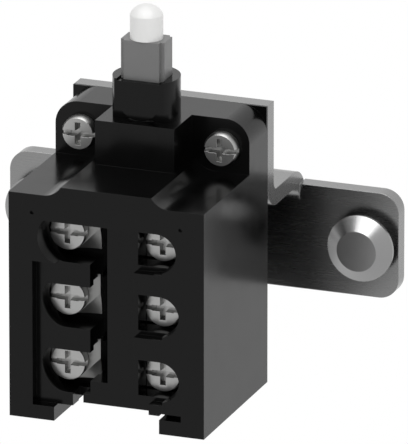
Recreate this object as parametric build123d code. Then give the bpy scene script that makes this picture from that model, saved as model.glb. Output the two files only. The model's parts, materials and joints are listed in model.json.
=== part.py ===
from build123d import *
import math
import os

# Plunger limit switch on a bent steel mounting bracket, in millimetres.
# X runs to the right, Y to the back and Z up. The origin is the centre of the flat back of the
# bracket's strip, halfway between the two locating studs.

# Bracket, bent from one sheet
sheet = 2.5
strip_length = 60.8
strip_height = 16.1
strip_corner = 3.0
shelf_gap = 10.95
shelf_rise = 26.2
upper_bend_inside = 1.25
lower_bend_inside = 2.5

# Locating studs on the strip
stud_spacing = 50.5
stud_height = 18.2
stud_neck_diameter = 7.6
stud_neck_length = 1.8
stud_rim_diameter = 10.1
stud_rim_thickness = 0.5
stud_cone_length = 1.6
stud_face_diameter = 6.1
stud_shank_diameter = 5.0

# Housing
housing_width = 30.0
housing_depth = 26.45
shoulder_height = 34.2
middle_rise = 1.5
middle_width = 13.9
middle_blend = 3.2
block_width = 12.2
block_reach = 7.2
lug_depth = 7.65
lug_rise = 8.2
lug_corner = 3.6
lug_flange = 0.5
foot_width = 6.9
foot_height = 2.1
ceiling_height = 2.75
sill_depth = 4.0
notch_width = 3.35
notch_low = 2.15
notch_high = 3.1
notch_depth = 3.0

# Open front of the housing, in front of the terminals
frame_wall = 3.6
recess_depth = 1.65
recess_ledge = 2.1
recess_corner_drop = 3.7
low_land_inset = 0.85
mark_inset = 3.6
mark_diameter = 0.6
mark_depth = 0.4
mark_height = 31.4

# Terminals, in two columns and three rows
row_count = 3
row_pitch = 9.93
lowest_row = 7.9
column_inset = 7.65
pocket_depth = 7.2
pocket_lip = 1.4
slot_start = 4.25
slot_width = 2.65
slot_below = 1.75
groove_offset = 1.55
groove_width = 1.6
groove_depth = 2.9
terminal_head_depth = 3.6
terminal_head_diameter = 5.4
terminal_head_thickness = 1.6
terminal_screw_length = 6.3
terminal_thread_diameter = 3.0

# Pockets of the left column
left_pocket_radius = 3.85
left_pocket_shift = 0.6
left_pocket_above = 2.6
left_pocket_inside = 3.3

# Pockets of the right column: their mouths in the frame, and the wider part behind
mouth_radius = 3.05
mouth_shift = 0.75
top_mouth_radius = 3.0
top_mouth_shift = 0.35
top_mouth_above = 2.6
mouth_below = 3.55
mouth_ledge_end = 1.25
right_pocket_radius = 3.3
right_pocket_below = 2.95
right_pocket_wall = 3.05
right_pocket_step = 0.1

# Clamps and terminal plates
clamp_thickness = 1.0
clamp_left = 3.1
clamp_right = 4.5
clamp_above = 2.6
clamp_below = 2.75
clamp_horn_top = 3.55
clamp_horn_width = 0.6
clamp_horn_run = 0.7
clamp_hollow_start = 2.75
clamp_hollow_width = 2.4
clamp_hollow_depth = 0.6
terminal_plate = 1.0
terminal_plate_outer = 3.0
terminal_plate_margin = 0.65
terminal_plate_above = 2.6
terminal_plate_below = 2.7
tongue_width = 2.0
tongue_inset = 2.75
lower_tongue_height = 5.2
middle_tongue_height = 19.4
upper_tongue_height = 29.1
button_diameter = 1.8
button_thickness = 0.4

# Chamber of the mechanism
chamber_side_room = 1.1
chamber_ahead = 4.4
chamber_back_wall = 2.45
chamber_headroom = 2.9
cover_thickness = 1.2
cover_ledge = 0.8

# Plunger and its collar
plunger_back = 9.88
guide_width = 6.7
guide_thickness = 4.4
guide_rebate = 0.6
guide_top = 54.1
guide_sunk = 0.4
stem_diameter = 3.0
shelf_thickness = 1.0
collar_diameter = 9.9
collar_height = 6.1
collar_flat = 3.15
collar_lip_drop = 0.3
collar_undercut_height = 1.25
collar_undercut_depth = 0.7
collar_lobe_chord = 5.2
tip_diameter = 4.83
tip_straight = 3.6
tip_dome = 1.5
tip_spigot_diameter = 3.0
tip_spigot_length = 3.0

# Slide that carries the bridges
carrier_side_room = 0.6
carrier_thickness = 6.0
carrier_web = 0.9
window_depth = 3.8
window_headroom = 0.2
contact_spring_height = 2.3

# Contact bridges
bridge_overhang = 1.0
bridge_depth = 3.4
bridge_thickness = 0.8
contact_gap = 3.1
rest_gap = 0.1

# Springs
return_wire = 0.5
return_diameter = 6.2
return_turns = 5
contact_wire = 0.35
contact_diameter = 2.8
contact_turns = 3

# Lug screws
lug_screw_inset = 4.05
lug_screw_below_top = 4.4
lug_head_diameter = 5.2
lug_head_thickness = 1.6
lug_thread_diameter = 3.0
lug_screw_stick_out = 1.0

# Recesses in the screw heads
drive_slot_width = 0.75
drive_slot_depth = 0.55
drive_cross_width = 0.85
drive_cross_length = 3.4
drive_cross_depth = 1.1
head_edge = 0.3

# Clearances
screw_clearance = 0.1
slide_clearance = 0.1
stem_clearance = 0.05
spring_clearance = 0.2
fit_clearance = 0.05
clamp_clearance = 0.3
hole_end_clearance = 0.4
thread_fit = 0.02
same_place = 0.01

# Planes worked out from the sizes
strip_front = -sheet
plate_back = strip_front - shelf_gap
housing_back = plate_back - sheet
front = housing_back - housing_depth
bottom = -stud_height
side = housing_width / 2
shoulder = bottom + shoulder_height
lug_top = shoulder + lug_rise
lug_face = housing_back - lug_depth
block_face = lug_face - block_reach
recess_plane = front + recess_depth
pocket_floor = front + pocket_depth
axis_y = housing_back - plunger_back
shelf_under = bottom + shelf_rise
chamber_front = axis_y - chamber_ahead
chamber_back = housing_back - chamber_back_wall
chamber_top = bottom + upper_tongue_height + terminal_plate + chamber_headroom
shelf = chamber_top + shelf_thickness
guide_bottom = lug_top - guide_sunk
ceiling = bottom + ceiling_height
cover_top = ceiling + cover_thickness
rows = [bottom + lowest_row + row_pitch * i for i in range(row_count)]
row_names = ["lower", "middle", "upper"]
column = side - column_inset
columns = {"left": -column, "right": column}
pocket_left = column - right_pocket_wall
recess_right = pocket_left - right_pocket_step
low_land_edge = column - low_land_inset
slot_left = slot_start - column
slot_right = slot_left + slot_width
tongue_x = column - tongue_inset
tongue_inner = tongue_x - tongue_width / 2
bridge_half = tongue_x + bridge_overhang
chamber_half = bridge_half + chamber_side_room
tongue_heights = [lower_tongue_height, middle_tongue_height, upper_tongue_height]
lug_screw_x = side - lug_screw_inset
lug_screw_z = lug_top - lug_screw_below_top
plate_face = pocket_floor - terminal_plate
clamp_face = plate_face - clamp_thickness


def block(x0, x1, y0, y1, z0, z1):
    """A box between two corners."""
    centre = Pos((x0 + x1) / 2, (y0 + y1) / 2, (z0 + z1) / 2)
    return centre * Box(x1 - x0, y1 - y0, z1 - z0)


def rod_y(x, z, diameter, y0, y1):
    """A cylinder along Y."""
    return Pos(x, (y0 + y1) / 2, z) * Rot(90, 0, 0) * Cylinder(diameter / 2, y1 - y0)


def rod_z(x, y, diameter, z0, z1):
    """A cylinder along Z."""
    return Pos(x, y, (z0 + z1) / 2) * Cylinder(diameter / 2, z1 - z0)


def along_y(sketch, y0, y1):
    """A sketch drawn in X and Z, made solid from y0 to y1."""
    plane = Plane(origin=(0, y0, 0), x_dir=(1, 0, 0), z_dir=(0, -1, 0))
    return extrude(plane * sketch, amount=-(y1 - y0))


def spring(outer, wire, turns, x, y, z0, z1):
    """A compression spring standing between two seats."""
    radius = (outer - wire) / 2
    height = z1 - z0 - wire
    path = Helix(pitch=height / turns, height=height, radius=radius)
    start = Plane(origin=path @ 0, z_dir=path % 0)
    coil = sweep(start * Circle(wire / 2), path=path)
    return Pos(x, y, z0 + wire / 2) * coil


def screw(x, z, face, head, thickness, thread, length):
    """A screw that points to the back, with a slot and a cross in its head."""
    under = face + thickness
    cap = rod_y(x, z, head, face, under)
    rim = cap.edges().filter_by(GeomType.CIRCLE).sort_by(Axis.Y)[0]
    cap = fillet(rim, head_edge)
    body = cap + rod_y(x, z, thread, under, under + length)
    deep = face + drive_slot_depth
    half = drive_slot_width / 2
    body -= block(x - head / 2, x + head / 2, face, deep, z - half, z + half)
    deep = face + drive_cross_depth
    long = drive_cross_length / 2
    short = drive_cross_width / 2
    for across, up in ((short, long), (long, short)):
        body -= block(x - across, x + across, face, deep, z - up, z + up)
    return body


def write(node, shape):
    """Saves one piece under its node's name."""
    export_step(shape, f"parts/{node}.step")


def housing_shell():
    """The outer form of the moulding: body, raised middle, central block, lugs and feet."""
    shell = block(-side, side, front, housing_back, bottom, shoulder)
    run = math.sqrt(middle_blend**2 - (middle_blend - middle_rise) ** 2)
    half = middle_width / 2
    crest = block(-half, half, front, lug_face, shoulder, shoulder + middle_rise)
    for hand in (-1, 1):
        inner = hand * half
        outer = hand * (half + run)
        x0, x1 = min(inner, outer), max(inner, outer)
        wedge = block(x0, x1, front, lug_face, shoulder, shoulder + middle_rise)
        hollow = rod_y(outer, shoulder + middle_blend, 2 * middle_blend, front, lug_face)
        crest += wedge - hollow
    shell += crest
    shell += block(-block_width / 2, block_width / 2, block_face, lug_face, shoulder, lug_top)
    lugs = block(-side, side, lug_face, housing_back, shoulder, lug_top)
    corners = [e for e in lugs.edges().filter_by(Axis.Y) if e.center().Z > lug_top - lug_corner / 2]
    shell += fillet(corners, lug_corner)
    shell += block(-side, side, housing_back - lug_flange, housing_back, shoulder, lug_top)
    inner = side - foot_width
    groove = columns["left"] + groove_offset
    shell -= block(-inner, inner, front, housing_back, bottom, bottom + foot_height)
    shell -= block(-inner, inner, front + sill_depth, housing_back, bottom, ceiling)
    shell -= block(groove, inner, front, housing_back, bottom, ceiling)
    low = bottom + notch_low
    high = bottom + notch_high
    return shell - block(inner, inner + notch_width, front, front + notch_depth, low, high)


def front_recess():
    """What is cut from the front: the shallow recess that joins the terminal pockets."""
    crown = rows[-1]
    corner = crown - recess_corner_drop
    left_edge = -side + frame_wall
    centre = columns["left"] + left_pocket_shift
    cut = block(left_edge, recess_right, front, recess_plane, bottom + recess_ledge, corner)
    cut += block(centre, columns["right"], front, recess_plane, corner, crown + left_pocket_above)
    cut += left_outline(crown, left_pocket_above, front, recess_plane)
    cut += block(recess_right, low_land_edge, front, recess_plane, bottom, rows[0])
    for z in rows:
        cut += right_mouth(z)
    return cut


def right_mouth(z):
    """The mouth of a right pocket in the frame: round on its right, with a flat ledge below."""
    x = columns["right"]
    if z == rows[-1]:
        radius = top_mouth_radius
        centre = x + top_mouth_shift
        middle = z + top_mouth_above - radius
    else:
        radius = mouth_radius
        centre = x + mouth_shift
        middle = z
    hole = rod_y(centre, middle, 2 * radius, front, recess_plane)
    hole += block(recess_right, centre, front, recess_plane, z, middle + radius)
    return hole + block(recess_right, x + mouth_ledge_end, front, recess_plane, z - mouth_below, z)


def right_pocket(z):
    """A screw pocket of the right column behind its mouth, round on its right."""
    x = columns["right"]
    top = z + right_pocket_radius
    low = z - right_pocket_below
    hole = rod_y(x, z, 2 * right_pocket_radius, recess_plane, pocket_floor)
    hole &= block(x, side, recess_plane, pocket_floor, low, top)
    return hole + block(pocket_left, x, recess_plane, pocket_floor, low, top)


def left_outline(z, above, y0, y1):
    """The outline of a left pocket from y0 to y1: round on its left, straight above and below."""
    centre = columns["left"] + left_pocket_shift
    low = z - left_pocket_radius
    top = z + above
    hole = rod_y(centre, z, 2 * left_pocket_radius, y0, y1)
    hole &= block(-side, centre, y0, y1, low, top)
    return hole + block(centre, slot_left, y0, y1, low, top)


def terminal_cuts():
    """Pockets, the channel beside the left screws, screw holes and slots for the tongues."""
    low = rows[0] - slot_below
    top = rows[-1] + left_pocket_above
    cut = block(slot_left, slot_right, recess_plane, pocket_floor, low, top)
    groove = columns["left"] + groove_offset
    cut += block(groove, groove + groove_width, recess_plane, recess_plane + groove_depth, bottom, rows[0])
    for z in rows:
        cut += left_outline(z, left_pocket_above, recess_plane, pocket_floor)
        cut += left_outline(z, left_pocket_inside, recess_plane + pocket_lip, pocket_floor)
        cut += right_pocket(z)
    for hand, level, z in terminals():
        axis_x = columns[hand]
        screw_end = front + terminal_head_depth + terminal_head_thickness + terminal_screw_length
        hole_end = screw_end + hole_end_clearance
        cut += rod_y(axis_x, z, terminal_thread_diameter + 2 * screw_clearance, pocket_floor, hole_end)
        x0, x1 = tongue_span(hand, fit_clearance)
        z0 = level - fit_clearance
        z1 = level + terminal_plate + fit_clearance
        cut += block(x0, x1, pocket_floor, chamber_front, z0, z1)
        x0, x1 = plate_span(hand, fit_clearance)
        z0, z1 = plate_height(level, z, fit_clearance)
        cut += block(x0, x1, plate_face - fit_clearance, pocket_floor, z0, z1)
        x0 = axis_x - clamp_left - fit_clearance
        x1 = axis_x + clamp_right + fit_clearance
        z0 = z - clamp_below - fit_clearance
        z1 = z + clamp_horn_top + fit_clearance
        cut += block(x0, x1, clamp_face - clamp_clearance, plate_face, z0, z1)
    return cut


def terminals():
    """Each terminal's column, the height of its tongue and the height of its screw."""
    for hand in columns:
        for level, z in zip(tongue_heights, rows):
            yield hand, bottom + level, z


def tongue_span(hand, clearance=0.0):
    """The tongue's two sides in X."""
    sign = -1 if hand == "left" else 1
    centre = sign * tongue_x
    half = tongue_width / 2 + clearance
    return centre - half, centre + half


def plate_span(hand, clearance=0.0):
    """The terminal plate's two sides in X."""
    sign = -1 if hand == "left" else 1
    outer = columns[hand] + sign * terminal_plate_outer
    inner = sign * (tongue_inner - terminal_plate_margin)
    return min(outer, inner) - clearance, max(outer, inner) + clearance


def plate_height(level, z, clearance=0.0):
    """The terminal plate's lower and upper edges, which take in its tongue."""
    low = min(z - terminal_plate_below, level)
    high = max(z + terminal_plate_above, level + terminal_plate)
    return low - clearance, high + clearance


def housing():
    """The black moulding that holds everything."""
    body = housing_shell()
    body -= front_recess()
    body -= terminal_cuts()
    body -= block(-chamber_half, chamber_half, chamber_front, chamber_back, cover_top, chamber_top)
    mouth = chamber_half + cover_ledge
    y0 = chamber_front - cover_ledge
    y1 = chamber_back + cover_ledge
    body -= block(-mouth, mouth, y0, y1, ceiling, cover_top)
    wide = guide_width + 2 * slide_clearance
    deep = guide_thickness + 2 * slide_clearance
    body -= block(-wide / 2, wide / 2, axis_y - deep / 2, axis_y + deep / 2, shelf, lug_top)
    body -= rod_z(0, axis_y, return_diameter + 2 * spring_clearance, shelf, lug_top)
    body -= rod_z(0, axis_y, stem_diameter + 2 * stem_clearance, chamber_top, shelf)
    for hand in (-1, 1):
        hole = lug_thread_diameter + 2 * screw_clearance
        body -= rod_y(hand * lug_screw_x, lug_screw_z, hole, lug_face, housing_back)
        mark_x = hand * (side - mark_inset)
        body -= rod_y(mark_x, bottom + mark_height, mark_diameter, front, front + mark_depth)
    return body


def base_cover():
    """The plate that closes the chamber from below."""
    mouth = chamber_half + cover_ledge - fit_clearance
    y0 = chamber_front - cover_ledge + fit_clearance
    y1 = chamber_back + cover_ledge - fit_clearance
    return block(-mouth, mouth, y0, y1, ceiling, cover_top)


def guide_section(clearance):
    """The guide block's two crossing rectangles, as half widths in X and Y."""
    wide = guide_width / 2 + clearance
    deep = guide_thickness / 2 + clearance
    return (wide, deep - guide_rebate), (wide - guide_rebate, deep)


def collar():
    """The round collar on the central block, flat in front, with a bore that fits the guide block."""
    top = lug_top + collar_height
    flat = axis_y - collar_flat
    wide = collar_diameter
    body = rod_z(0, axis_y, collar_diameter, lug_top, top)
    body -= block(-wide, wide, axis_y - wide, flat, lug_top, top)
    under = flat + collar_undercut_depth
    body -= block(-wide, wide, flat, under, lug_top, lug_top + collar_undercut_height)
    half = collar_lobe_chord / 2
    lobe_radius = (half**2 + collar_undercut_height**2) / (2 * collar_undercut_height)
    lobe = rod_y(0, lug_top + lobe_radius, 2 * lobe_radius, flat, under)
    body += lobe & block(-half, half, flat, under, lug_top, lug_top + collar_undercut_height)
    for x, y in guide_section(slide_clearance):
        body -= block(-x, x, axis_y - y, axis_y + y, lug_top, top)
        body -= block(-x, x, flat, axis_y, top - collar_lip_drop, top)
    return body


def plunger():
    """The grey guide block with rebated corners, on its round stem."""
    low = guide_bottom
    high = bottom + guide_top
    body = rod_z(0, axis_y, stem_diameter, chamber_top - rest_gap, low)
    for x, y in guide_section(0):
        body += block(-x, x, axis_y - y, axis_y + y, low, high)
    return body - rod_z(0, axis_y, tip_spigot_diameter, high - tip_spigot_length, high)


def plunger_tip():
    """The white round button, domed on top, with its spigot in the guide block."""
    low = bottom + guide_top
    radius = tip_diameter / 2
    dome = (radius**2 + tip_dome**2) / (2 * tip_dome)
    level = low + tip_straight
    body = rod_z(0, axis_y, tip_diameter, low, level + tip_dome)
    ball = Pos(0, axis_y, level + tip_dome - dome) * Sphere(dome)
    body &= ball + rod_z(0, axis_y, tip_diameter, low, level)
    return body + rod_z(0, axis_y, tip_spigot_diameter, low - tip_spigot_length, low)


def opening_bridge_levels():
    """Undersides of the two bridges that open, from their fixed contacts above them."""
    drop = 2 * button_thickness + rest_gap + bridge_thickness
    return [bottom + height - drop for height in tongue_heights[1:]]


def closing_bridge_level():
    """Underside of the bridge that closes, above its fixed contacts."""
    return bottom + lower_tongue_height + terminal_plate + 2 * button_thickness + contact_gap


def carrier():
    """The slide under the plunger, with one window for each bridge."""
    half = tongue_inner - carrier_side_room
    deep = carrier_thickness / 2
    top = chamber_top - rest_gap
    low = closing_bridge_level() - carrier_web
    body = block(-half, half, axis_y - deep, axis_y + deep, low, top)
    cut = window_depth / 2
    for level in opening_bridge_levels():
        floor = level - contact_spring_height
        roof = level + bridge_thickness + window_headroom
        body -= block(-half, half, axis_y - cut, axis_y + cut, floor, roof)
    floor = closing_bridge_level()
    body -= block(-half, half, axis_y - cut, axis_y + cut, floor, closing_roof())
    return body


def closing_roof():
    """Top of the window of the bridge that closes, under the web of the window above it."""
    return opening_bridge_levels()[0] - contact_spring_height - carrier_web


def bridge(level, buttons_up):
    """A contact bridge with a button at each end."""
    deep = bridge_depth / 2
    top = level + bridge_thickness
    body = block(-bridge_half, bridge_half, axis_y - deep, axis_y + deep, level, top)
    if buttons_up:
        z0 = top
    else:
        z0 = level - button_thickness
    for x in (-tongue_x, tongue_x):
        body += rod_z(x, axis_y, button_diameter, z0, z0 + button_thickness)
    return body


def terminal_plate_piece(hand, level, z, button_below):
    """The plate under a terminal screw, its tongue into the chamber and its contact button."""
    x0, x1 = plate_span(hand)
    z0, z1 = plate_height(level, z)
    body = block(x0, x1, plate_face, pocket_floor, z0, z1)
    body -= rod_y(columns[hand], z, terminal_thread_diameter + 2 * thread_fit, plate_face, pocket_floor)
    x0, x1 = tongue_span(hand)
    end = axis_y + tongue_width / 2
    body += block(x0, x1, pocket_floor, end, level, level + terminal_plate)
    centre = (x0 + x1) / 2
    z0 = level - button_thickness if button_below else level + terminal_plate
    return body + rod_z(centre, axis_y, button_diameter, z0, z0 + button_thickness)


def clamp(hand, z):
    """The washer under a terminal screw's head, with a horn and a hollowed corner on its right."""
    x = columns[hand]
    horn = clamp_right - clamp_horn_width
    points = [
        (-clamp_left, -clamp_below),
        (clamp_right, -clamp_below),
        (clamp_right, clamp_horn_top),
        (horn, clamp_horn_top),
        (horn - clamp_horn_run, clamp_above),
        (-clamp_left, clamp_above),
    ]
    outline = make_face(Polyline(*[(x + px, z + pz) for px, pz in points], close=True))
    plate = along_y(outline, clamp_face, plate_face)
    ahead = (clamp_hollow_width**2 - clamp_hollow_depth**2) / (2 * clamp_hollow_depth)
    away = (clamp_hollow_start + clamp_hollow_width) / math.sqrt(2)
    hollow = Cylinder(ahead + clamp_hollow_depth, 2 * (clamp_left + clamp_right))
    plate -= Pos(x + away, clamp_face - ahead, z - away) * Rot(0, 45, 0) * hollow
    return plate - rod_y(x, z, terminal_thread_diameter + 2 * screw_clearance, clamp_face, plate_face)


def bracket():
    """One sheet: the plate behind the lugs, the shelf, and the strip with its two tabs."""
    shelf_high = shelf_under + sheet
    strip_low = -strip_height / 2
    outline = [
        (housing_back, lug_top),
        (plate_back, lug_top),
        (plate_back, shelf_high),
        (0, shelf_high),
        (0, strip_low),
        (strip_front, strip_low),
        (strip_front, shelf_under),
        (housing_back, shelf_under),
    ]
    face = make_face(Plane.YZ * Polyline(*outline, close=True))
    body = extrude(face, amount=side, both=True)

    def bend(y, z, radius):
        nonlocal body
        edges = [
            e
            for e in body.edges().filter_by(Axis.X)
            if abs(e.center().Y - y) < same_place and abs(e.center().Z - z) < same_place
        ]
        body = fillet(edges, radius)

    bend(plate_back, shelf_high, upper_bend_inside)
    bend(housing_back, shelf_under, upper_bend_inside + sheet)
    bend(0, shelf_high, lower_bend_inside + sheet)
    bend(strip_front, shelf_under, lower_bend_inside)
    for hand in (-1, 1):
        end = hand * strip_length / 2
        tab = block(min(end, hand * side), max(end, hand * side), strip_front, 0, strip_low, -strip_low)
        outer = [e for e in tab.edges().filter_by(Axis.Y) if abs(e.center().X - end) < same_place]
        body += fillet(outer, strip_corner)
        body -= rod_y(hand * stud_spacing / 2, 0, stud_shank_diameter, strip_front, 0)
        hole = lug_thread_diameter + 2 * thread_fit
        body -= rod_y(hand * lug_screw_x, lug_screw_z, hole, housing_back, plate_back)
    return body


def stud(hand):
    """A conical locating stud, riveted into its tab."""
    neck = stud_neck_diameter / 2
    rim = stud_rim_diameter / 2
    tip = stud_face_diameter / 2
    shank = stud_shank_diameter / 2
    rim_back = strip_front - stud_neck_length
    rim_front = rim_back - stud_rim_thickness
    face = rim_front - stud_cone_length
    profile = [
        (0, 0),
        (shank, 0),
        (shank, strip_front),
        (neck, strip_front),
        (neck, rim_back),
        (rim, rim_back),
        (rim, rim_front),
        (tip, face),
        (0, face),
    ]
    turned = revolve(make_face(Polyline(*profile, close=True)), Axis.Y)
    return Pos(hand * stud_spacing / 2, 0, 0) * turned


def main():
    os.makedirs("parts", exist_ok=True)
    write("housing", housing())
    write("base_cover", base_cover())
    write("plunger_collar", collar())
    write("plunger", plunger())
    write("plunger_tip", plunger_tip())
    write("contact_carrier", carrier())

    opening = opening_bridge_levels()
    write("contact_bridge_middle", bridge(opening[0], True))
    write("contact_bridge_upper", bridge(opening[1], True))
    write("contact_bridge_lower", bridge(closing_bridge_level(), False))
    for name, level in zip(row_names[1:], opening):
        low = level - contact_spring_height
        coil = spring(contact_diameter, contact_wire, contact_turns, 0, axis_y, low, level)
        write(f"contact_spring_{name}", coil)
    low = closing_bridge_level() + bridge_thickness
    coil = spring(contact_diameter, contact_wire, contact_turns, 0, axis_y, low, closing_roof())
    write("contact_spring_lower", coil)
    coil = spring(return_diameter, return_wire, return_turns, 0, axis_y, shelf, guide_bottom)
    write("return_spring", coil)

    for hand in columns:
        for name, height, z in zip(row_names, tongue_heights, rows):
            piece = terminal_plate_piece(hand, bottom + height, z, name != "lower")
            write(f"terminal_plate_{hand}_{name}", piece)
            write(f"terminal_clamp_{hand}_{name}", clamp(hand, z))
            turned = screw(
                columns[hand],
                z,
                front + terminal_head_depth,
                terminal_head_diameter,
                terminal_head_thickness,
                terminal_thread_diameter,
                terminal_screw_length,
            )
            write(f"terminal_screw_{hand}_{name}", turned)

    write("mounting_bracket", bracket())
    for hand, sign in (("left", -1), ("right", 1)):
        write(f"locating_stud_{hand}", stud(sign))
        turned = screw(
            sign * lug_screw_x,
            lug_screw_z,
            lug_face - lug_head_thickness,
            lug_head_diameter,
            lug_head_thickness,
            lug_thread_diameter,
            lug_depth + sheet + lug_screw_stick_out,
        )
        write(f"lug_screw_{hand}", turned)


main()
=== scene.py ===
import json
import math

import bmesh
import bpy
from mathutils import Matrix, Vector


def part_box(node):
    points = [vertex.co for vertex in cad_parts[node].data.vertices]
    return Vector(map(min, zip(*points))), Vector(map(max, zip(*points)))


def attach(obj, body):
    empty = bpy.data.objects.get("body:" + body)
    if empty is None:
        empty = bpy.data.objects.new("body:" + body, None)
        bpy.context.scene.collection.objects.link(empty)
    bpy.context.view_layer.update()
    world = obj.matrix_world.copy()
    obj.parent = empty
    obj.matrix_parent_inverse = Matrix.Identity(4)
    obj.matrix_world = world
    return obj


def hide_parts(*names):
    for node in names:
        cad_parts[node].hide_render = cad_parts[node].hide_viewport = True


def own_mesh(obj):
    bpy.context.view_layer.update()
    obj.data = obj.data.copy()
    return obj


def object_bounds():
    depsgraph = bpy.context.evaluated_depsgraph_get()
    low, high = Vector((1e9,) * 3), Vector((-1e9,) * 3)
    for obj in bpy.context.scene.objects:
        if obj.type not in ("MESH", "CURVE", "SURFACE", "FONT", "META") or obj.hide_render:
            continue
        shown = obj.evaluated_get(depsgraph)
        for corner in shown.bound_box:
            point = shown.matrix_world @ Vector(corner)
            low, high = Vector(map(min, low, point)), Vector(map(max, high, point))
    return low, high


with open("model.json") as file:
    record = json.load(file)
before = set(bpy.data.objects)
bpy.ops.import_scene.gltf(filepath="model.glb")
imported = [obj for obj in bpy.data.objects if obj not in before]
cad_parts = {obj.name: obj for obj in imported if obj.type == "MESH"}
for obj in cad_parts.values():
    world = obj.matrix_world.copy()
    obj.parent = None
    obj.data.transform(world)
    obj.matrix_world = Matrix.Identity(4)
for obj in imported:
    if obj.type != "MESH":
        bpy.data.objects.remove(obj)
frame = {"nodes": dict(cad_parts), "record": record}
cad_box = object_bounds()

# Lengths are in metres, angles in degrees.
MM = 0.001

# Camera: the photograph's viewing angle, the point at its centre and the height that it covers there
VIEW_AZIMUTH = 20.5
VIEW_ELEVATION = 18.9
VIEW_TARGET = Vector((8.515, -24.995, 8.572)) * MM
FRAME_HEIGHT = 64.2 * MM
LENS_MM = 1000.0
SENSOR_MM = 36.0
CLIP_START = 0.01
CLIP_END_FACTOR = 10

# Surface noise: scales are features per metre
MOTTLE_SCALE = 260.0
GRAIN_SCALE = 5200.0
CLOUD_SCALE = 120.0
STREAK_SCALE = 400.0
FLOOR_SCALE = 30.0
NOISE_DETAIL = 3.0
GRAIN_DETAIL = 2.0
STREAK_DETAIL = 4.0
NOISE_ROUGHNESS = 0.55
NOISE_LOW = 0.3
NOISE_HIGH = 0.7

# Surface finish: bump heights, and the share by which roughness varies
GRAIN_HEIGHT = 0.02 * MM
STREAK_HEIGHT = 0.005 * MM
MOULDING_VARIATION = 0.15
PLATING_VARIATION = 0.05
BEVEL_SAMPLES = 4

# Screw heads
HEAD_THICKNESS = 1.6 * MM
HEAD_ROUNDING = 0.1 * MM
HEAD_CROWN = 0.25 * MM
HEAD_CHAMFER = 0.1 * MM
SHOULDER_WIDTH = 0.27 * MM
SHOULDER_DEPTH = 0.55 * MM
ROUNDING_STEPS = 8
TURNING_STEPS = 96
SCREW_SHARP_ANGLE = 32

# Screw recesses
SLOT_WIDTH = 0.62 * MM
SLOT_DEPTH = 1.1 * MM
SLOT_REACH_FACTOR = 1.1
CROSS_WIDTH = 0.85 * MM
CROSS_LENGTH = 3.4 * MM
CROSS_DEPTH = 1.2 * MM
CROSS_TAPER = 0.84
CUTTER_RISE = 0.2 * MM

# Screw shanks
SHANK_RADIUS = 1.5 * MM
TIP_CHAMFER = 0.3 * MM
THREAD_LENGTH = 2.5 * MM
THREAD_PITCH = 0.5 * MM
THREAD_DEPTH = 0.28 * MM
THREAD_STEPS = 8

# Coil springs in place of the spring nodes
RETURN_WIRE = 0.5 * MM
RETURN_TURNS = 5
CONTACT_WIRE = 0.35 * MM
CONTACT_TURNS = 3
COIL_STEPS = 40
WIRE_STEPS = 12
COIL_SHARP_ANGLE = 40

# Studio
BACKGROUND = (1.0, 1.0, 1.0)
BACKGROUND_STRENGTH = 1.0
DIFFUSE_FILL = 0.6
FLOOR_SIZE = 1.2
FLOOR_DROP = 0.05 * MM
FLOOR_DARK = (0.88, 0.88, 0.88)
FLOOR_LIGHT = (0.92, 0.92, 0.92)


def make_object(name, data):
    obj = bpy.data.objects.new(name, data)
    bpy.context.scene.collection.objects.link(obj)
    return obj


def aim(obj, azimuth, elevation, distance):
    """Places an object around the view's target and faces it there; azimuth 0 is the front."""
    a = math.radians(azimuth)
    e = math.radians(elevation)
    direction = Vector((math.sin(a) * math.cos(e), -math.cos(a) * math.cos(e), math.sin(e)))
    place = VIEW_TARGET + distance * direction
    obj.location = place
    obj.rotation_euler = (VIEW_TARGET - place).to_track_quat("-Z", "Y").to_euler()


def make_camera():
    """A far camera with a long lens, because the photograph shows no perspective."""
    data = bpy.data.cameras.new("camera")
    data.lens = LENS_MM
    data.sensor_width = SENSOR_MM
    distance = FRAME_HEIGHT * LENS_MM / SENSOR_MM
    data.clip_start = CLIP_START
    data.clip_end = CLIP_END_FACTOR * distance
    camera = make_object("camera", data)
    aim(camera, VIEW_AZIMUTH, VIEW_ELEVATION, distance)
    bpy.context.scene.camera = camera


# Materials


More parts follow.
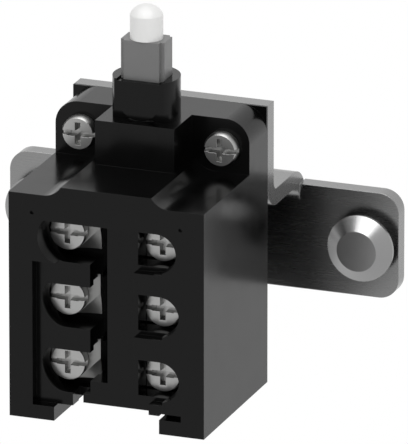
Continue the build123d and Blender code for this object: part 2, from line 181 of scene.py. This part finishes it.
class Nodes:
    """A short way to build the node tree of a material or world."""

    def __init__(self, owner, output="ShaderNodeOutputMaterial"):
        self.owner = owner
        owner.use_nodes = True
        self.tree = owner.node_tree
        self.tree.nodes.clear()
        self.output = self.add(output)

    def add(self, kind, **values):
        """A new node. A value goes to the input of that name, or else to the node's setting."""
        node = self.tree.nodes.new(kind)
        for key, value in values.items():
            if key in node.inputs:
                node.inputs[key].default_value = value
            else:
                setattr(node, key, value)
        return node

    def link(self, source, target):
        self.tree.links.new(source, target)

    def surface(self, shader):
        self.link(shader, self.output.inputs["Surface"])

    def coordinates(self, scale=(1, 1, 1)):
        """The place on the piece, which doesn't change when the piece moves."""
        place = self.add("ShaderNodeTexCoord")
        mapping = self.add("ShaderNodeMapping", Scale=scale)
        self.link(place.outputs["Object"], mapping.inputs["Vector"])
        return mapping.outputs["Vector"]

    def noise(self, vector, scale, detail=NOISE_DETAIL):
        node = self.add("ShaderNodeTexNoise", Scale=scale, Detail=detail, Roughness=NOISE_ROUGHNESS)
        self.link(vector, node.inputs["Vector"])
        return node.outputs["Fac"]

    def vary(self, noise, middle, share):
        """A number that the noise moves by a share of it to either side."""
        node = self.add("ShaderNodeMapRange")
        node.inputs["From Min"].default_value = NOISE_LOW
        node.inputs["From Max"].default_value = NOISE_HIGH
        node.inputs["To Min"].default_value = middle * (1 - share)
        node.inputs["To Max"].default_value = middle * (1 + share)
        self.link(noise, node.inputs["Value"])
        return node.outputs["Result"]

    def tint(self, noise, dark, light):
        node = self.add("ShaderNodeMix", data_type="RGBA")
        node.inputs["A"].default_value = (*dark, 1)
        node.inputs["B"].default_value = (*light, 1)
        self.link(noise, node.inputs["Factor"])
        return node.outputs["Result"]

    def bump(self, noise, strength, height, edge):
        """Bumps from the noise, over corners that look rounded to the edge's radius."""
        bevel = self.add("ShaderNodeBevel", samples=BEVEL_SAMPLES, Radius=edge)
        node = self.add("ShaderNodeBump", Strength=strength, Distance=height)
        self.link(noise, node.inputs["Height"])
        self.link(bevel.outputs["Normal"], node.inputs["Normal"])
        return node.outputs["Normal"]

    def finish(self, shader, colour, roughness, normal):
        """Links a shader's inputs and gives the material."""
        self.link(colour, shader.inputs["Base Color"])
        self.link(roughness, shader.inputs["Roughness"])
        self.link(normal, shader.inputs["Normal"])
        self.surface(shader.outputs["BSDF"])
        return self.owner


def shades(colour, spread):
    """A darker and a lighter shade of a colour."""
    return [tuple(c * share for c in colour) for share in (1 - spread, 1 + spread)]


def moulded(name, colour, spread, roughness, ior, level, edge, grain):
    """Moulded plastic: a faint mottle, a fine moulded grain and softened edges."""
    n = Nodes(bpy.data.materials.new(name))
    place = n.coordinates()
    mottle = n.noise(place, MOTTLE_SCALE)
    fine = n.noise(place, GRAIN_SCALE, GRAIN_DETAIL)
    shader = n.add("ShaderNodeBsdfPrincipled", IOR=ior)
    shader.inputs["Specular IOR Level"].default_value = level
    return n.finish(
        shader,
        colour=n.tint(mottle, *shades(colour, spread)),
        roughness=n.vary(mottle, roughness, MOULDING_VARIATION),
        normal=n.bump(fine, grain, GRAIN_HEIGHT, edge),
    )


def metal(name, colour, spread, roughness, edge, stretch, streaks):
    """Plated or drawn metal: streaks along one axis, cloudy plating and softened edges."""
    n = Nodes(bpy.data.materials.new(name))
    lines = n.noise(n.coordinates(stretch), STREAK_SCALE, STREAK_DETAIL)
    cloud = n.noise(n.coordinates(), CLOUD_SCALE)
    shader = n.add("ShaderNodeBsdfPrincipled", Metallic=1.0)
    return n.finish(
        shader,
        colour=n.tint(cloud, *shades(colour, spread)),
        roughness=n.vary(lines, roughness, PLATING_VARIATION),
        normal=n.bump(lines, streaks, STREAK_HEIGHT, edge),
    )


def make_materials():
    """The record's material slots, each with its material."""
    return {
        "black_plastic": moulded(
            "black_moulding", (0.0012, 0.0012, 0.0012), spread=0.3, roughness=0.2,
            ior=1.3, level=0.43, edge=0.05 * MM, grain=0.04,
        ),
        "grey_plastic": moulded(
            "grey_moulding", (0.19, 0.19, 0.19), spread=0.06, roughness=0.38,
            ior=1.45, level=0.4, edge=0.1 * MM, grain=0.12,
        ),
        "white_plastic": moulded(
            "white_moulding", (0.9, 0.9, 0.89), spread=0.02, roughness=0.3,
            ior=1.45, level=0.5, edge=0.1 * MM, grain=0.08,
        ),
        "bracket_steel": metal(
            "plated_sheet", (0.25, 0.25, 0.25), spread=0.05, roughness=0.27,
            edge=0.15 * MM, stretch=(0.3, 6, 6), streaks=0.015,
        ),
        "stud_steel": metal(
            "turned_steel", (0.28, 0.28, 0.28), spread=0.03, roughness=0.25,
            edge=0.1 * MM, stretch=(1, 12, 1), streaks=0.02,
        ),
        "screw_steel": metal(
            "plated_screw", (0.37, 0.37, 0.365), spread=0.06, roughness=0.3,
            edge=0.08 * MM, stretch=(2, 2, 2), streaks=0.15,
        ),
        "clamp_steel": metal(
            "plated_clamp", (0.22, 0.22, 0.216), spread=0.06, roughness=0.32,
            edge=0.08 * MM, stretch=(4, 2, 1), streaks=0.15,
        ),
        "contact_metal": metal(
            "contact_strip", (0.72, 0.66, 0.55), spread=0.06, roughness=0.32,
            edge=0.06 * MM, stretch=(1, 6, 6), streaks=0.12,
        ),
        "spring_steel": metal(
            "spring_wire", (0.5, 0.5, 0.52), spread=0.05, roughness=0.25,
            edge=0.03 * MM, stretch=(6, 6, 1), streaks=0.1,
        ),
    }


def dress_frame(materials):
    """Gives each of the frame's nodes the material of its slot."""
    slots = {row["node"]: row["material_slot"] for row in frame["record"]["subparts"]}
    for name, obj in frame["nodes"].items():
        obj.data.materials.clear()
        obj.data.materials.append(materials[slots[name]])


# Pieces that replace nodes


def write_mesh(bm, mesh):
    """Turns all faces outward and writes them to the mesh."""
    bmesh.ops.recalc_face_normals(bm, faces=bm.faces)
    bm.to_mesh(mesh)
    bm.free()


def shade(mesh, sharp_angle):
    """Smooth shading, apart from edges over the angle."""
    mesh.shade_smooth()
    mesh.set_sharp_from_angle(angle=math.radians(sharp_angle))


def lathe(name, profile, thread):
    """Turns a profile of (radius, y) about Y, with a thread cut between the two places of thread."""
    mesh = bpy.data.meshes.new(name)
    bm = bmesh.new()
    ends = [bm.verts.new((0, profile[0][1], 0)), bm.verts.new((0, profile[-1][1], 0))]
    rings = []
    for radius, y in profile[1:-1]:
        ring = []
        for i in range(TURNING_STEPS):
            turn = i / TURNING_STEPS
            r = radius
            if thread and thread[0] < y < thread[1]:
                phase = ((y - thread[0]) / THREAD_PITCH - turn) % 1.0
                r -= THREAD_DEPTH * abs(2 * phase - 1)
            a = 2 * math.pi * turn
            ring.append(bm.verts.new((r * math.cos(a), y, r * math.sin(a))))
        rings.append(ring)
    for i in range(TURNING_STEPS):
        j = (i + 1) % TURNING_STEPS
        bm.faces.new((ends[0], rings[0][i], rings[0][j]))
        bm.faces.new((ends[1], rings[-1][j], rings[-1][i]))
        for a, b in zip(rings, rings[1:]):
            bm.faces.new((a[i], b[i], b[j], a[j]))
    write_mesh(bm, mesh)
    return mesh


def wedge(name, half_x, half_z, depth, taper):
    """A cutter from just above y = 0 to its depth, where it has taper times its full width."""
    mesh = bpy.data.meshes.new(name)
    corners = []
    for y, share in ((-CUTTER_RISE, 1.0), (0.0, 1.0), (depth, taper)):
        for sx, sz in ((-1, -1), (1, -1), (1, 1), (-1, 1)):
            corners.append((sx * half_x * share, y, sz * half_z * share))
    faces = [(0, 1, 2, 3), (8, 11, 10, 9)]
    for low in (0, 4):
        for i in range(4):
            j = (i + 1) % 4
            faces.append((low + i, low + 4 + i, low + 4 + j, low + j))
    mesh.from_pydata(corners, [], faces)
    bm = bmesh.new()
    bm.from_mesh(mesh)
    write_mesh(bm, mesh)
    return make_object(name, mesh)


def cut(mesh, cutters):
    """Takes the cutters away from a mesh, and gives the new mesh."""
    body = make_object("body", mesh)
    for cutter in cutters:
        change = body.modifiers.new("cut", "BOOLEAN")
        change.operation = "DIFFERENCE"
        change.solver = "EXACT"
        change.object = cutter
    graph = bpy.context.evaluated_depsgraph_get()
    made = bpy.data.meshes.new_from_object(body.evaluated_get(graph))
    for obj in [body, *cutters]:
        bpy.data.objects.remove(obj)
    shade(made, SCREW_SHARP_ANGLE)
    return made


def rounded_edge(radius):
    """A head's profile from its face's middle to its widest ring, over a small round edge."""
    flat = radius - HEAD_ROUNDING
    profile = [(0, 0), (flat, 0)]
    for i in range(1, ROUNDING_STEPS + 1):
        a = math.pi / 2 * i / ROUNDING_STEPS
        profile.append((flat + HEAD_ROUNDING * math.sin(a), HEAD_CROWN * (1 - math.cos(a))))
    return profile


def slanted_edge(radius):
    """The same profile, over a slanted shoulder."""
    return [(0, 0), (radius - SHOULDER_WIDTH, 0), (radius, SHOULDER_DEPTH)]


def screw_mesh(name, head_radius, tip, threaded):
    """A screw along Y: its face, with a slot and a cross, is at y = 0, and its shank ends at y = tip."""
    profile = slanted_edge(head_radius) if threaded else rounded_edge(head_radius)
    profile += [
        (head_radius, HEAD_THICKNESS - HEAD_CHAMFER),
        (head_radius - HEAD_CHAMFER, HEAD_THICKNESS),
        (SHANK_RADIUS, HEAD_THICKNESS),
    ]
    thread = None
    if threaded:
        start = tip - THREAD_LENGTH
        end = tip - TIP_CHAMFER
        thread = (start, end)
        steps = round((end - start) / THREAD_PITCH * THREAD_STEPS)
        profile += [(SHANK_RADIUS, start + (end - start) * i / steps) for i in range(steps)]
    profile += [(SHANK_RADIUS, tip - TIP_CHAMFER), (SHANK_RADIUS - TIP_CHAMFER, tip), (0, tip)]
    mesh = lathe(name, profile, thread)
    long, short = CROSS_LENGTH / 2, CROSS_WIDTH / 2
    cutters = [
        wedge("slot", head_radius * SLOT_REACH_FACTOR, SLOT_WIDTH / 2, SLOT_DEPTH, 1.0),
        wedge("cross_up", short, long, CROSS_DEPTH, CROSS_TAPER),
        wedge("cross_over", long, short, CROSS_DEPTH, CROSS_TAPER),
    ]
    return cut(mesh, cutters)


def dress_screws(materials):
    """Screws with shaped edges and recesses stand in for the plain ones, the lug screws with a thread."""
    for name in frame["nodes"]:
        if "_screw_" not in name:
            continue
        low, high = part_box(name)
        radius = (high[0] - low[0]) / 2
        mesh = screw_mesh(name + "_turned", radius, high[1] - low[1], name.startswith("lug"))
        middle = Vector(((low[0] + high[0]) / 2, low[1], (low[2] + high[2]) / 2))
        mesh.transform(Matrix.Translation(middle))
        mesh.materials.clear()
        mesh.materials.append(materials["screw_steel"])
        piece = make_object(name + "_turned", mesh)
        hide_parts(name)
        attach(piece, "base")


def coil_mesh(name, low, high, wire, turns):
    """A spring of round wire that fills a box, wound about Z."""
    centre = Vector(((low[0] + high[0]) / 2, (low[1] + high[1]) / 2, low[2] + wire / 2))
    radius = (high[0] - low[0] - wire) / 2
    height = high[2] - low[2] - wire
    rise = height / (2 * math.pi * turns)
    mesh = bpy.data.meshes.new(name)
    bm = bmesh.new()
    rings = []
    for i in range(turns * COIL_STEPS + 1):
        a = 2 * math.pi * i / COIL_STEPS
        outward = Vector((math.cos(a), math.sin(a), 0))
        along = Vector((-radius * math.sin(a), radius * math.cos(a), rise)).normalized()
        across = along.cross(outward)
        middle = centre + radius * outward + Vector((0, 0, rise * a))
        ring = []
        for j in range(WIRE_STEPS):
            b = 2 * math.pi * j / WIRE_STEPS
            ring.append(bm.verts.new(middle + wire / 2 * (math.cos(b) * outward + math.sin(b) * across)))
        rings.append(ring)
    for a, b in zip(rings, rings[1:]):
        for i in range(WIRE_STEPS):
            j = (i + 1) % WIRE_STEPS
            bm.faces.new((a[i], a[j], b[j], b[i]))
    bm.faces.new(rings[0])
    bm.faces.new(rings[-1])
    write_mesh(bm, mesh)
    shade(mesh, COIL_SHARP_ANGLE)
    return mesh


def dress_spring(materials, node, body, wire, turns):
    """A coil of round wire in place of the node, carried by the body."""
    low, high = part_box(node)
    mesh = coil_mesh(node + "_coil", low, high, wire, turns)
    mesh.materials.append(materials["spring_steel"])
    piece = make_object(node + "_coil", mesh)
    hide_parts(node)
    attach(piece, body)
    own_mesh(piece)


def dress_springs(materials):
    dress_spring(
        materials, "return_spring", "base", RETURN_WIRE, RETURN_TURNS,
    )
    dress_spring(
        materials, "contact_spring_lower", "slider", CONTACT_WIRE, CONTACT_TURNS,
    )


# Studio


def white_when_seen(n, shader):
    """Shows the white background to the camera and in reflections, and the shader to all else."""
    path = n.add("ShaderNodeLightPath")
    seen = n.add("ShaderNodeMath", operation="MAXIMUM")
    n.link(path.outputs["Is Camera Ray"], seen.inputs[0])
    n.link(path.outputs["Is Glossy Ray"], seen.inputs[1])
    also = n.add("ShaderNodeMath", operation="MAXIMUM")
    n.link(seen.outputs["Value"], also.inputs[0])
    n.link(path.outputs["Is Transmission Ray"], also.inputs[1])
    glow = n.add("ShaderNodeEmission", Strength=BACKGROUND_STRENGTH)
    glow.inputs["Color"].default_value = (*BACKGROUND, 1)
    mix = n.add("ShaderNodeMixShader")
    n.link(also.outputs["Value"], mix.inputs["Fac"])
    n.link(shader, mix.inputs[1])
    n.link(glow.outputs["Emission"], mix.inputs[2])
    return mix.outputs["Shader"]


def make_world():
    """A white world that lights matt surfaces less than it shows."""
    world = bpy.data.worlds.new("studio")
    bpy.context.scene.world = world
    n = Nodes(world, "ShaderNodeOutputWorld")
    path = n.add("ShaderNodeLightPath")
    background = n.add("ShaderNodeBackground", Color=(*BACKGROUND, 1))
    strength = n.add("ShaderNodeMapRange")
    strength.inputs["To Min"].default_value = BACKGROUND_STRENGTH
    strength.inputs["To Max"].default_value = DIFFUSE_FILL
    n.link(path.outputs["Is Diffuse Ray"], strength.inputs["Value"])
    n.link(strength.outputs["Result"], background.inputs["Strength"])
    n.surface(background.outputs["Background"])


def make_floor():
    """A square floor just under the part."""
    half = FLOOR_SIZE / 2
    z = cad_box[0][2] - FLOOR_DROP
    corners = [(-half, -half, z), (half, -half, z), (half, half, z), (-half, half, z)]
    mesh = bpy.data.meshes.new("floor")
    mesh.from_pydata(corners, [], [(0, 1, 2, 3)])
    floor = make_object("floor", mesh)
    n = Nodes(bpy.data.materials.new("floor"))
    shader = n.add("ShaderNodeBsdfDiffuse")
    grain = n.noise(n.coordinates(), FLOOR_SCALE)
    n.link(n.tint(grain, FLOOR_DARK, FLOOR_LIGHT), shader.inputs["Color"])
    n.surface(white_when_seen(n, shader.outputs["BSDF"]))
    mesh.materials.append(n.owner)


def add_lamp(name, azimuth, elevation, distance, size, power):
    data = bpy.data.lights.new(name, "AREA")
    data.shape = "DISK"
    data.size = size
    data.energy = power
    lamp = make_object(name, data)
    aim(lamp, azimuth, elevation, distance)
    return lamp


def make_studio():
    """The world, the floor and two soft lamps. The overhead one shows in reflections alone."""
    make_world()
    make_floor()
    add_lamp("key", azimuth=25, elevation=62, distance=0.6, size=0.5, power=1.3)
    overhead = add_lamp("overhead", azimuth=-20, elevation=75, distance=0.55, size=0.9, power=4.4)
    overhead.visible_diffuse = False
    bpy.context.scene.view_settings.view_transform = "Standard"


make_camera()
looks = make_materials()
dress_frame(looks)
dress_screws(looks)
dress_springs(looks)
make_studio()
